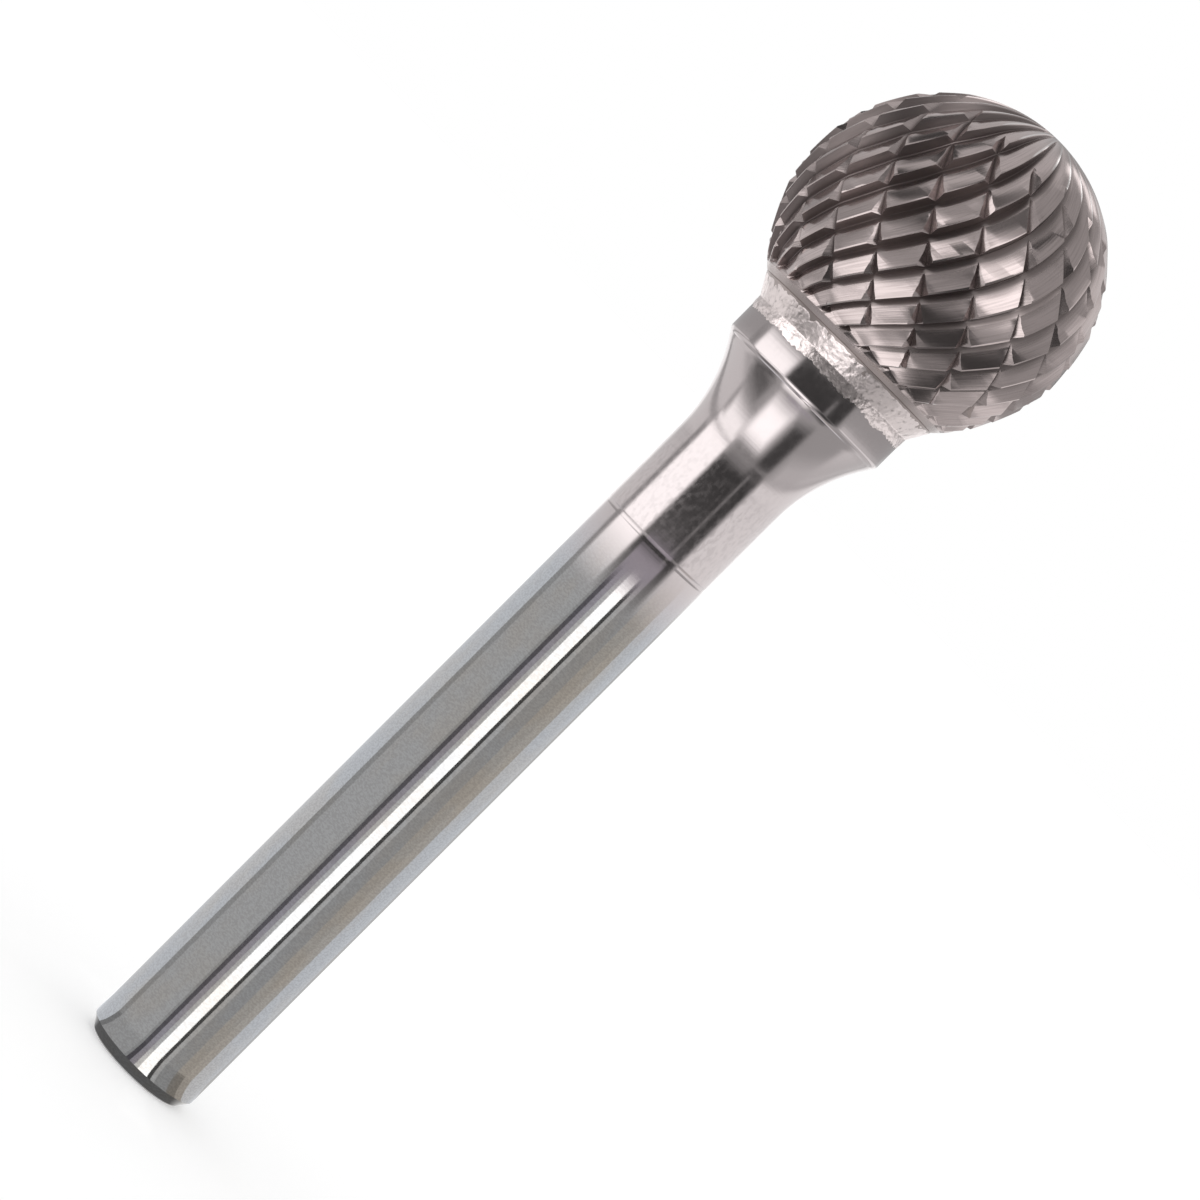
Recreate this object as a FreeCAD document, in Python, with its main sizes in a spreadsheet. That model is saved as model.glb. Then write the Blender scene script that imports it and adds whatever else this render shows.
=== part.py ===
import FreeCAD, Part
import math
import os
import Sketcher
from FreeCAD import Vector

# Carbide burr, ball shape: a fluted carbide head brazed to a straight steel shank.
# It stands upright. The origin is the centre of the shank's end face, and +Z runs along the
# axis to the tip of the ball. Lengths are in millimetres and angles in degrees.

SIZES = {
    # Steel shank
    "shank_diameter": 6.35,
    "end_chamfer_depth": 0.40,
    "end_chamfer_length": 0.60,
    "ring_line_height": 35.20,
    "ring_line_width": 0.24,
    "ring_line_depth": 0.05,
    "flare_radius": 8.50,
    "collar_height": 45.00,
    "collar_diameter": 9.60,
    "collar_length": 1.85,
    # Solder between the collar and the head
    "braze_thickness": 0.10,
    # Carbide head: cone neck and ball
    "neck_length": 1.05,
    "neck_lip": 0.02,
    "neck_latitude": -47.5,
    "ball_diameter": 16.00,
    # Spiral flutes, right-hand
    "flute_count": 28,
    "flute_phase": 1.5,
    "flute_depth": 0.52,
    "flute_start": -44.0,
    "flute_end": 84.0,
    "flute_lead": 0.67,
    "flute_straight": 64.0,
    "rake_share": 0.12,
    "heel_share": 0.36,
    "heel_depth_share": 0.58,
    # Chip breakers, left-hand
    "breaker_count": 16,
    "breaker_phase": -7.0,
    "breaker_depth": 0.40,
    "breaker_half_angle": 44.0,
    "breaker_start": -43.0,
    "breaker_end": 56.0,
    "breaker_lead": -0.75,
    "breaker_clearance": 0.12,
}
FLUTE_SPANS = 16
BREAKER_SPANS = 10

doc = FreeCAD.newDocument("carbide_burr")
sheet = doc.addObject("Spreadsheet::Sheet", "Sizes")
for row, (name, value) in enumerate(SIZES.items(), start=1):
    sheet.set(f"A{row}", name)
    sheet.set(f"B{row}", str(value))
    sheet.setAlias(f"B{row}", name)
doc.recompute()


def size(name):
    return float(sheet.get(name))


# Helpers for sketched bodies

def origin_feature(body, role):
    return next(feature for feature in body.Origin.OriginFeatures if feature.Role == role)


def new_sketch(body, name):
    """A sketch in the plane of the axis: its x is the radius and its y is the height."""
    sketch = body.newObject("Sketcher::SketchObject", name)
    sketch.AttachmentSupport = [(origin_feature(body, "XZ_Plane"), "")]
    sketch.MapMode = "FlatFace"
    return sketch


def bind(sketch, name, constraint, expression):
    index = sketch.addConstraint(constraint)
    sketch.renameConstraint(index, name)
    sketch.setExpression(f"Constraints.{name}", expression)


def turn_profile(body, kind, name, sketch):
    feature = body.newObject(kind, name)
    feature.Profile = sketch
    feature.ReferenceAxis = (sketch, ["V_Axis"])
    feature.Angle = 360
    sketch.Visibility = False
    return feature


# Steel shank: one turned bar with a chamfered end, a concave flare and a collar

# How a constraint numbers the two ends of a sketch line, and the origin
START, END = range(1, 3)
ORIGIN = -1


def shank_profile(sketch):
    radius = size("shank_diameter") / 2
    collar_radius = size("collar_diameter") / 2
    flare = size("flare_radius")
    collar_bottom = size("collar_height")
    collar_top = collar_bottom + size("collar_length")
    rise = math.acos((radius + flare - collar_radius) / flare)
    flare_bottom = collar_bottom - flare * math.sin(rise)
    corners = [
        Vector(0, 0, 0),
        Vector(radius - size("end_chamfer_depth"), 0, 0),
        Vector(radius, size("end_chamfer_length"), 0),
        Vector(radius, flare_bottom, 0),
        Vector(collar_radius, collar_bottom, 0),
        Vector(collar_radius, collar_top, 0),
        Vector(0, collar_top, 0),
    ]
    flare_circle = Part.Circle(Vector(radius + flare, flare_bottom, 0), Vector(0, 0, 1), flare)
    flare_arc = Part.ArcOfCircle(flare_circle, math.pi - rise, math.pi)
    end_face, chamfer, bar, arc, collar, seat, axis = range(7)
    for number in range(7):
        if number == arc:
            sketch.addGeometry(flare_arc, False)
        else:
            line = Part.LineSegment(corners[number], corners[(number + 1) % 7])
            sketch.addGeometry(line, False)
    Constraint = Sketcher.Constraint
    sketch.addConstraint([
        Constraint("Coincident", end_face, START, ORIGIN, START),
        Constraint("Coincident", end_face, END, chamfer, START),
        Constraint("Coincident", chamfer, END, bar, START),
        Constraint("Tangent", bar, END, arc, END),
        Constraint("Coincident", arc, START, collar, START),
        Constraint("Coincident", collar, END, seat, START),
        Constraint("Coincident", seat, END, axis, START),
        Constraint("Coincident", axis, END, end_face, START),
        Constraint("Horizontal", end_face),
        Constraint("Vertical", bar),
        Constraint("Vertical", collar),
        Constraint("Horizontal", seat),
        Constraint("Vertical", axis),
    ])
    bind(sketch, "shank_radius", Constraint("DistanceX", ORIGIN, START, bar, START, radius),
         "Sizes.shank_diameter / 2")
    bind(sketch, "chamfer_depth",
         Constraint("DistanceX", chamfer, START, chamfer, END, size("end_chamfer_depth")),
         "Sizes.end_chamfer_depth")
    bind(sketch, "chamfer_length",
         Constraint("DistanceY", chamfer, START, chamfer, END, size("end_chamfer_length")),
         "Sizes.end_chamfer_length")
    bind(sketch, "flare_radius", Constraint("Radius", arc, flare), "Sizes.flare_radius")
    bind(sketch, "collar_radius",
         Constraint("DistanceX", ORIGIN, START, collar, START, collar_radius),
         "Sizes.collar_diameter / 2")
    bind(sketch, "collar_height",
         Constraint("DistanceY", ORIGIN, START, collar, START, collar_bottom),
         "Sizes.collar_height")
    bind(sketch, "collar_length",
         Constraint("DistanceY", collar, START, collar, END, size("collar_length")),
         "Sizes.collar_length")


def ring_line_profile(sketch):
    radius = size("shank_diameter") / 2
    depth = size("ring_line_depth")
    width = size("ring_line_width")
    middle = size("ring_line_height")
    corners = [
        Vector(radius, middle - width / 2, 0),
        Vector(radius, middle + width / 2, 0),
        Vector(radius - depth, middle, 0),
    ]
    for number in range(3):
        sketch.addGeometry(Part.LineSegment(corners[number], corners[(number + 1) % 3]), False)
    mouth, upper, lower = range(3)
    Constraint = Sketcher.Constraint
    sketch.addConstraint([
        Constraint("Coincident", mouth, END, upper, START),
        Constraint("Coincident", upper, END, lower, START),
        Constraint("Coincident", lower, END, mouth, START),
        Constraint("Vertical", mouth),
        Constraint("Equal", upper, lower),
    ])
    bind(sketch, "mouth_radius", Constraint("DistanceX", ORIGIN, START, mouth, START, radius),
         "Sizes.shank_diameter / 2")
    bind(sketch, "line_width", Constraint("DistanceY", mouth, START, mouth, END, width),
         "Sizes.ring_line_width")
    bind(sketch, "line_depth", Constraint("DistanceX", upper, END, upper, START, depth),
         "Sizes.ring_line_depth")
    bind(sketch, "line_height", Constraint("DistanceY", ORIGIN, START, upper, END, middle),
         "Sizes.ring_line_height")


def make_steel_shank():
    body = doc.addObject("PartDesign::Body", "steel_shank")
    body.Label = "steel_shank"
    sketch = new_sketch(body, "shank_profile")
    shank_profile(sketch)
    turn_profile(body, "PartDesign::Revolution", "turned_bar", sketch)
    line_sketch = new_sketch(body, "ring_line_profile")
    ring_line_profile(line_sketch)
    turn_profile(body, "PartDesign::Groove", "ring_line", line_sketch)
    return body


# Solder: the thin disc that fills the joint between the collar and the head

def make_braze_joint():
    disc = doc.addObject("Part::Cylinder", "braze_joint")
    disc.Label = "braze_joint"
    disc.setExpression("Radius", "Sizes.collar_diameter / 2")
    disc.setExpression("Height", "Sizes.braze_thickness")
    disc.setExpression("Placement.Base.z", "Sizes.collar_height + Sizes.collar_length")
    return disc


# Carbide head: a cone neck and a ball with spiral flutes, cut across by chip breakers

def on_sphere(radius, latitude, longitude):
    """A point at a distance from the ball's centre, which lies on the head's own axis."""
    polar = math.radians(latitude)
    around = math.radians(longitude)
    flat = radius * math.cos(polar)
    return Vector(flat * math.cos(around), flat * math.sin(around), radius * math.sin(polar))


def flat_facet(*points):
    return Part.Face(Part.makePolygon([*points, points[0]]))


def skin(rings, tip=None):
    """A solid of flat facets through rings of as many points each, closed by the first ring
    and by the last one or a tip."""
    count = len(rings[0])
    facets = [flat_facet(*reversed(rings[0]))]
    for lower, upper in zip(rings, rings[1:]):
        for here in range(count):
            after = (here + 1) % count
            facets.append(flat_facet(lower[here], lower[after], upper[after]))
            facets.append(flat_facet(lower[here], upper[after], upper[here]))
    if tip is None:
        facets.append(flat_facet(*rings[-1]))
    else:
        for here in range(count):
            facets.append(flat_facet(rings[-1][here], rings[-1][(here + 1) % count], tip))
    solid = Part.makeSolid(Part.makeShell(facets))
    if solid.Volume < 0:
        solid.reverse()
    return solid


def flute_turn(latitude):
    """The turn of a flute about the axis. It leads most at the neck and ends up straight,
    as the grinding wheel is swung in line with the axis on its way to the tip."""
    straight = size("flute_straight")
    reached = min(latitude, straight)
    return size("flute_lead") * (reached - reached ** 2 / (2 * straight))


def tooth_ring(latitude, depth, lean_latitude):
    """One turn round the ball: for each tooth its cutting edge, the gullet's root at the foot
    of the rake face, and the heel where the gullet meets the next tooth's back."""
    radius = size("ball_diameter") / 2
    count = round(size("flute_count"))
    pitch = 360.0 / count
    start = size("flute_phase") + flute_turn(lean_latitude)
    heel_depth = depth * size("heel_depth_share")
    ring = []
    for tooth in range(count):
        edge = start + tooth * pitch
        root = edge + size("rake_share") * pitch
        heel = edge + size("heel_share") * pitch
        ring.append(on_sphere(radius, latitude, edge))
        ring.append(on_sphere(radius - depth, latitude, root))
        ring.append(on_sphere(radius - heel_depth, latitude, heel))
    return ring


def fluted_ball():
    """The flutes run out to nothing at both ends and grow shallower as the teeth close up
    towards the tip."""
    start = size("flute_start")
    step = (size("flute_end") - start) / FLUTE_SPANS
    rings = [tooth_ring(size("neck_latitude"), 0.0, start)]
    for span in range(FLUTE_SPANS + 1):
        latitude = start + span * step
        ground = 0 < span < FLUTE_SPANS
        depth = size("flute_depth") * math.cos(math.radians(latitude)) if ground else 0.0
        rings.append(tooth_ring(latitude, depth, latitude))
    return skin(rings, tip=Vector(0, 0, size("ball_diameter") / 2))


def breaker_section(latitude, depth):
    """A V across the path of a chip breaker, with its mouth just above the ball."""
    radius = size("ball_diameter") / 2
    ahead = 0.5
    lead = size("breaker_lead")
    outward = on_sphere(1.0, latitude, lead * latitude)
    path = on_sphere(1.0, latitude + ahead, lead * (latitude + ahead)) - outward
    sideways = outward.cross(path).normalize()
    mouth = radius + 2 * size("breaker_clearance")
    half_width = (mouth - radius + depth) * math.tan(math.radians(size("breaker_half_angle")))
    bottom = outward * (radius - depth)
    return [bottom, outward * mouth + sideways * half_width, outward * mouth - sideways * half_width]


def breaker_cutters():
    """The V cutter of one chip breaker, patterned round the axis. It enters and leaves the
    ball at its ends."""
    start = size("breaker_start")
    step = (size("breaker_end") - start) / BREAKER_SPANS
    sections = []
    for span in range(BREAKER_SPANS + 1):
        inside = 0 < span < BREAKER_SPANS
        depth = size("breaker_depth") if inside else -size("breaker_clearance")
        sections.append(breaker_section(start + span * step, depth))
    first = skin(sections)
    count = round(size("breaker_count"))
    cutters = []
    for number in range(count):
        cutter = first.copy()
        turn = size("breaker_phase") + number * 360.0 / count
        cutter.rotate(Vector(0, 0, 0), Vector(0, 0, 1), turn)
        cutters.append(cutter)
    return cutters


def make_carbide_head():
    """The head in its own frame, with the ball's centre at the origin, set on the solder."""
    radius = size("ball_diameter") / 2
    neck_top = on_sphere(radius, size("neck_latitude"), 0.0)
    neck_length = size("neck_length")
    neck = Part.makeCone(size("collar_diameter") / 2, neck_top.x + size("neck_lip"), neck_length,
                         Vector(0, 0, neck_top.z - neck_length))
    ball = fluted_ball().cut(breaker_cutters())
    head = doc.addObject("Part::Feature", "carbide_head")
    head.Label = "carbide_head"
    head.Shape = neck.fuse(ball)
    head.setExpression("Placement.Base.z",
                       "Sizes.collar_height + Sizes.collar_length + Sizes.braze_thickness"
                       " + Sizes.neck_length - Sizes.ball_diameter / 2 * sin(Sizes.neck_latitude)")
    return head


nodes = [make_steel_shank(), make_braze_joint(), make_carbide_head()]
doc.recompute()
for item in doc.Objects:
    if "Invalid" in item.State or "Error" in item.State:
        raise RuntimeError(f"{item.Name} failed: {item.State}")
for node in nodes:
    if node.Shape.isNull() or not node.Shape.isValid():
        raise RuntimeError(f"{node.Label} has no valid shape")

os.makedirs("parts", exist_ok=True)
for node in nodes:
    node.Shape.exportStep(f"parts/{node.Label}.step")
    box = node.Shape.BoundBox
    print(f"{node.Label}: {node.Shape.Volume:.2f} mm3, z {box.ZMin:.3f} to {box.ZMax:.3f}")
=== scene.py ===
import bmesh
import bpy
import math
import random
from mathutils import Matrix, Vector, noise


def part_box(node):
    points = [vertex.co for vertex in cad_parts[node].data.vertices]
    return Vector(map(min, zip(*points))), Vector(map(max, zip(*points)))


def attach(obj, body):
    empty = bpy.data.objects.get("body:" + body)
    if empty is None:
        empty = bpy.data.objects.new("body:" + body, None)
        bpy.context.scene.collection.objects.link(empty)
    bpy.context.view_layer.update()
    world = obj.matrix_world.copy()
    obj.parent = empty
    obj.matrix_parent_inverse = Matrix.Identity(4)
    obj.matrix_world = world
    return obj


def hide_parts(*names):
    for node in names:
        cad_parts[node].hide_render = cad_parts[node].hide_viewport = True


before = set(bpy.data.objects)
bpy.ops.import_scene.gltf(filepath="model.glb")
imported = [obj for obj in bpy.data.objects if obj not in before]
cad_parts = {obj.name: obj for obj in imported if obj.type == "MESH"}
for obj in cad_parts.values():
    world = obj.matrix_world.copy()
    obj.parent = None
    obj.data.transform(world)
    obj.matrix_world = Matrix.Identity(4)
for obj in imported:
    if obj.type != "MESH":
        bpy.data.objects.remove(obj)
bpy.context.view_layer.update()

# The burr stands on its shank end with +Z along its axis. Lengths are in metres, written as
# millimetres times MM, and angles are in degrees.
MM = 0.001

SHANK_LOW, SHANK_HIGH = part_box("steel_shank")
BRAZE_LOW, BRAZE_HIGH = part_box("braze_joint")
HEAD_LOW, HEAD_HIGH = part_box("carbide_head")

# Shank
SHANK_RADIUS = 3.175 * MM
CHAMFER_DEPTH = 0.40 * MM
CHAMFER_LENGTH = 0.60 * MM
RING_LINE_HEIGHT = 35.20 * MM
RING_LINE_WIDTH = 0.24 * MM
RING_LINE_DEPTH = 0.05 * MM
FLARE_RADIUS = 8.50 * MM
COLLAR_HEIGHT = 45.00 * MM
COLLAR_RADIUS = 4.80 * MM
COLLAR_TOP = SHANK_HIGH.z

# Head. Latitude and longitude are the ball's own, with its pole at the burr's tip.
BALL_RADIUS = 8.00 * MM
BALL_CENTRE = Vector((0.0, 0.0, HEAD_HIGH.z - BALL_RADIUS))
NECK_BOTTOM = HEAD_LOW.z
NECK_LATITUDE = -47.5
FLUTE_COUNT = 28
FLUTE_PHASE = 1.5
FLUTE_DEPTH = 0.52 * MM
FLUTE_START = -44.0
FLUTE_END = 84.0
FLUTE_FADE = 8.0
FLUTE_RUN_OUT = 1.6
# How far the flutes turn for each degree of latitude at the equator, and the latitude above
# which they run straight
FLUTE_LEAD = 0.67
FLUTE_STRAIGHT = 64.0
# Shares of the pitch: where the steep rake face ends at the root, where the heel bends, and the
# land behind the next edge. The heel's bend lies at this share of the flute's depth.
RAKE_SHARE = 0.12
HEEL_SHARE = 0.36
LAND_SHARE = 0.06
HEEL_DEPTH_SHARE = 0.58
BREAKER_COUNT = 16
BREAKER_PHASE = -7.0
BREAKER_DEPTH = 0.40 * MM
BREAKER_HALF_ANGLE = 44.0
BREAKER_START = -43.0
BREAKER_END = 56.0
BREAKER_FADE = 10.0
BREAKER_LEAD = -0.75
# How far a breaker's cutter has risen clear of the ball at its ends
BREAKER_CLEARANCE = 0.12 * MM


# Mesh helpers

def new_object(name, data):
    """A new object in the scene, round a mesh or a camera."""
    made = bpy.data.objects.new(name, data)
    bpy.context.scene.collection.objects.link(made)
    return made


def shade_by_angle(mesh, degrees):
    """Smooth shading, with the edges sharper than that kept crisp."""
    for face in mesh.polygons:
        face.use_smooth = True
    build = bmesh.new()
    build.from_mesh(mesh)
    for edge in build.edges:
        if len(edge.link_faces) == 2:
            edge.smooth = edge.calc_face_angle() < math.radians(degrees)
    build.to_mesh(mesh)
    build.free()


def ring_skin(name, rings, low_tip=None, high_tip=None):
    """A closed mesh through rings of as many points each, ending in a tip or a flat face."""
    points = [point for ring in rings for point in ring]
    count = len(rings[0])
    faces = []
    for level in range(len(rings) - 1):
        for here in range(count):
            after = (here + 1) % count
            low, high = level * count, (level + 1) * count
            faces.append((low + here, low + after, high + after, high + here))
    last = (len(rings) - 1) * count
    if low_tip is None:
        faces.append(tuple(reversed(range(count))))
    else:
        tip = len(points)
        points.append(low_tip)
        faces += [(tip, (here + 1) % count, here) for here in range(count)]
    if high_tip is None:
        faces.append(tuple(range(last, last + count)))
    else:
        tip = len(points)
        points.append(high_tip)
        faces += [(tip, last + here, last + (here + 1) % count) for here in range(count)]
    mesh = bpy.data.meshes.new(name)
    mesh.from_pydata(points, [], faces)
    mesh.update()
    return mesh


def spread(first, last, stride):
    """Evenly spaced values from first to last, no further apart than the stride."""
    steps = max(1, math.ceil(abs(last - first) / stride))
    return [first + (last - first) * step / steps for step in range(steps + 1)]


def round_turns(sides):
    """The angles of that many points round the axis, in radians."""
    return [2 * math.pi * side / sides for side in range(sides)]


def turned_point(radius, turn, height):
    return Vector((radius * math.cos(turn), radius * math.sin(turn), height))


def turned_rings(profile, sides):
    """Rings of a turned form. profile lists its (radius, height) points from low to high."""
    turns = round_turns(sides)
    return [[turned_point(radius, turn, height) for turn in turns] for radius, height in profile]


# Steel shank

SHANK_SIDES = 192
SHANK_CREASE = 25
CORNER_EASE = 0.05 * MM
CORNER_STEPS = 4
FLARE_STEPS = 40
RIM_ROUND = 0.38 * MM
RIM_STEPS = 10
# Across the ring line: the place in half widths from its middle, and how deep it is there as a
# share of the solid's groove. The mouth is eased and the bottom rounded.
RING_LINE_SECTION = (
    (-1.5, 0.0), (-1.15, 0.04), (-0.8, 0.18), (-0.4, 0.26), (0.0, 0.28),
    (0.4, 0.26), (0.8, 0.18), (1.15, 0.04), (1.5, 0.0),
)


def arc_points(centre, radius, first, last, steps):
    """(radius, height) points along an arc from one angle in degrees to another."""
    points = []
    for step in range(steps + 1):
        angle = math.radians(first + (last - first) * step / steps)
        points.append((centre[0] + radius * math.cos(angle), centre[1] + radius * math.sin(angle)))
    return points


def ring_line_outline():
    half = RING_LINE_WIDTH / 2
    return [(SHANK_RADIUS - RING_LINE_DEPTH * sink, RING_LINE_HEIGHT + half * along)
            for along, sink in RING_LINE_SECTION]


def rim_centre(lean):
    """Centre of the rounding where the flare, leaning out by that angle, meets the collar."""
    drop = RIM_ROUND * math.tan(math.radians(lean / 2))
    return COLLAR_RADIUS - RIM_ROUND, COLLAR_HEIGHT + drop


def shank_outline():
    """The turned profile from the end face to the seat, with its corners eased a little."""
    ease = CORNER_EASE
    end_radius = SHANK_RADIUS - CHAMFER_DEPTH
    slope = math.degrees(math.atan2(CHAMFER_DEPTH, CHAMFER_LENGTH))
    outline = arc_points((end_radius - ease, ease), ease, -90, -slope, CORNER_STEPS)
    corner = (SHANK_RADIUS - ease, CHAMFER_LENGTH + ease * math.tan(math.radians(slope / 2)))
    outline += arc_points(corner, ease, -slope, 0, CORNER_STEPS)
    outline += ring_line_outline()

    rise = math.acos((SHANK_RADIUS + FLARE_RADIUS - COLLAR_RADIUS) / FLARE_RADIUS)
    lean = math.degrees(rise)
    flare_centre = (SHANK_RADIUS + FLARE_RADIUS, COLLAR_HEIGHT - FLARE_RADIUS * math.sin(rise))
    flare = arc_points(flare_centre, FLARE_RADIUS, 180, 180 - lean, FLARE_STEPS)
    rim_start = rim_centre(lean)[0] + RIM_ROUND * math.sin(rise)
    outline += [point for point in flare if point[0] < rim_start - ease]
    outline += arc_points(rim_centre(lean), RIM_ROUND, lean - 90, 0, RIM_STEPS)
    outline += arc_points((COLLAR_RADIUS - ease, COLLAR_TOP - ease), ease, 0, 90, CORNER_STEPS)
    return outline


def make_shank():
    mesh = ring_skin("steel_shank", turned_rings(shank_outline(), SHANK_SIDES),
                     low_tip=Vector((0, 0, SHANK_LOW.z)), high_tip=Vector((0, 0, COLLAR_TOP)))
    shade_by_angle(mesh, SHANK_CREASE)
    return new_object("ground_shank", mesh)


# Carbide head

HEAD_SPANS = 88
HEAD_CREASE = 22
BREAKER_SPANS = 40
# Finer rings, in degrees, where the flutes begin
RUN_OUT_STRIDE = 0.4
# Plain rings between the neck and the flutes, as shares of the way up
NECK_BANDS = (0.35, 0.7)
# Where the neck meets the ball it ends in a tiny lip, this wide and high
LIP = 0.02 * MM
LIP_RISE = 0.01 * MM
# Latitudes of the rings on the plain spot at the tip
NOSE_RINGS = (86.5, 88.5)
# The section of a tooth from edge to edge, in shares of the pitch and of the flute's depth:
# a narrow land at its end, a steep rake face to a slightly rounded root, and the longer back
TOOTH_SECTION = (
    (0.0, 0.0),
    (RAKE_SHARE - 0.012, 0.93),
    (RAKE_SHARE + 0.012, 1.0),
    (RAKE_SHARE + 0.045, 0.96),
    (HEEL_SHARE - 0.02, HEEL_DEPTH_SHARE + 0.04),
    (HEEL_SHARE + 0.03, HEEL_DEPTH_SHARE - 0.025),
    (1.0 - LAND_SHARE, 0.0),
)
ROOT_CORNERS = 4
# Each flute is ground a little deeper or shallower, by up to these shares, at its root and back
ROOT_SPREAD = 0.05
BACK_SPREAD = 1.6 * ROOT_SPREAD
grinding = random.Random(3)
ROOT_DEPTHS = [1 + ROOT_SPREAD * grinding.uniform(-1, 1) for _ in range(FLUTE_COUNT)]
BACK_DEPTHS = [1 + BACK_SPREAD * grinding.uniform(-1, 1) for _ in range(FLUTE_COUNT)]
# A tooth's back is flattened by this share of its full chord's depth, and one that is longer than
# twice CELL_HALF is flattened no more than that
CELL_FLATNESS = 0.8
CELL_HALF = 8.5


def on_ball(radius, latitude, longitude):
    """A point at that radius round the ball's centre, which counts as the origin."""
    polar = math.radians(latitude)
    around = math.radians(longitude)
    flat = radius * math.cos(polar)
    return Vector((flat * math.cos(around), flat * math.sin(around), radius * math.sin(polar)))


def flute_turn(latitude):
    """How far a flute has turned from the equator, in degrees: it runs straight near the tip."""
    reached = min(latitude, FLUTE_STRAIGHT)
    return FLUTE_LEAD * (reached - reached ** 2 / (2 * FLUTE_STRAIGHT))


def fade_in(value, start, end, first_run, last_run):
    """1 between start and end, falling to 0 over a run inside each of them."""
    return max(0.0, min(1.0, (value - start) / first_run, (end - value) / last_run))


def breaker_share(latitude):
    """How much of its full depth a chip breaker has at that latitude."""
    return fade_in(latitude, BREAKER_START, BREAKER_END, BREAKER_FADE, BREAKER_FADE)


def cell_sink(latitude, longitude):
    """How far a tooth's back, nearly flat between its breakers, lies inside the ball."""
    spacing = 360.0 / BREAKER_COUNT
    lead = max(0.0, FLUTE_LEAD * (1 - latitude / FLUTE_STRAIGHT))
    slant = math.hypot(1.0, lead * math.cos(math.radians(latitude)))
    length = spacing / (lead - BREAKER_LEAD) * slant
    place = (longitude - BREAKER_PHASE - BREAKER_LEAD * latitude) / spacing % 1.0
    half = math.radians(length / 2)
    chord = 1 - math.cos(half) / math.cos(half * (2 * place - 1))
    limit = min(1.0, CELL_HALF / math.degrees(half)) ** 2
    return BALL_RADIUS * CELL_FLATNESS * chord * breaker_share(latitude) * limit


def tooth_ring(latitude):
    """One turn round the ball, by the same teeth as in the solid."""
    pitch = 360.0 / FLUTE_COUNT
    depth = FLUTE_DEPTH * math.cos(math.radians(latitude))
    depth *= fade_in(latitude, FLUTE_START, FLUTE_END, FLUTE_RUN_OUT, FLUTE_FADE)
    start = FLUTE_PHASE + flute_turn(max(latitude, FLUTE_START))
    ring = []
    for tooth in range(FLUTE_COUNT):
        for corner, (share, depth_share) in enumerate(TOOTH_SECTION):
            longitude = start + (tooth + share) * pitch
            wander = ROOT_DEPTHS if corner < ROOT_CORNERS else BACK_DEPTHS
            sink = depth * depth_share * wander[tooth] + cell_sink(latitude, longitude)
            ring.append(BALL_CENTRE + on_ball(BALL_RADIUS - sink, latitude, longitude))
    return ring


def neck_ring(radius, height):
    """A round ring whose points follow the longitudes of the flutes' lower ends."""
    ring = []
    for point in tooth_ring(FLUTE_START):
        outward = Vector((point.x, point.y, 0)).normalized()
        ring.append(outward * radius + Vector((0, 0, height)))
    return ring


def breaker_section(latitude, depth):
    """The V of a chip breaker's cutter, square to its way round the ball."""
    ahead = 0.5
    outward = on_ball(1.0, latitude, BREAKER_LEAD * latitude)
    path = on_ball(1.0, latitude + ahead, BREAKER_LEAD * (latitude + ahead)) - outward
    sideways = outward.cross(path).normalized()
    above = 2 * BREAKER_CLEARANCE
    half_width = (above + depth) * math.tan(math.radians(BREAKER_HALF_ANGLE))
    mouth = outward * (BALL_RADIUS + above)
    return [outward * (BALL_RADIUS - depth), mouth + sideways * half_width,
            mouth - sideways * half_width]


def breaker_cutters():
    """One object with a cutter for each chip breaker."""
    step = (BREAKER_END - BREAKER_START) / BREAKER_SPANS
    sections = []
    for span in range(BREAKER_SPANS + 1):
        latitude = BREAKER_START + span * step
        share = breaker_share(latitude)
        depth = BREAKER_DEPTH * share - BREAKER_CLEARANCE * (1 - share)
        sections.append(breaker_section(latitude, depth))
    build = bmesh.new()
    for number in range(BREAKER_COUNT):
        turn = math.radians(BREAKER_PHASE + number * 360.0 / BREAKER_COUNT)
        spin = Matrix.Translation(BALL_CENTRE) @ Matrix.Rotation(turn, 4, "Z")
        rings = [[spin @ point for point in section] for section in sections]
        one = ring_skin("breaker", rings)
        build.from_mesh(one)
        bpy.data.meshes.remove(one)
    bmesh.ops.recalc_face_normals(build, faces=build.faces)
    mesh = bpy.data.meshes.new("breakers")
    build.to_mesh(mesh)
    build.free()
    return new_object("breakers", mesh)


def cut_away(target, cutter):
    """Takes the cutter's volume out of the target's mesh, and removes the cutter."""
    boolean = target.modifiers.new("chip_breakers", "BOOLEAN")
    boolean.operation = "DIFFERENCE"
    boolean.solver = "EXACT"
    boolean.object = cutter
    bpy.context.view_layer.update()
    graph = bpy.context.evaluated_depsgraph_get()
    result = bpy.data.meshes.new_from_object(target.evaluated_get(graph))
    target.modifiers.clear()
    target.data = result
    bpy.data.objects.remove(cutter)


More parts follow.
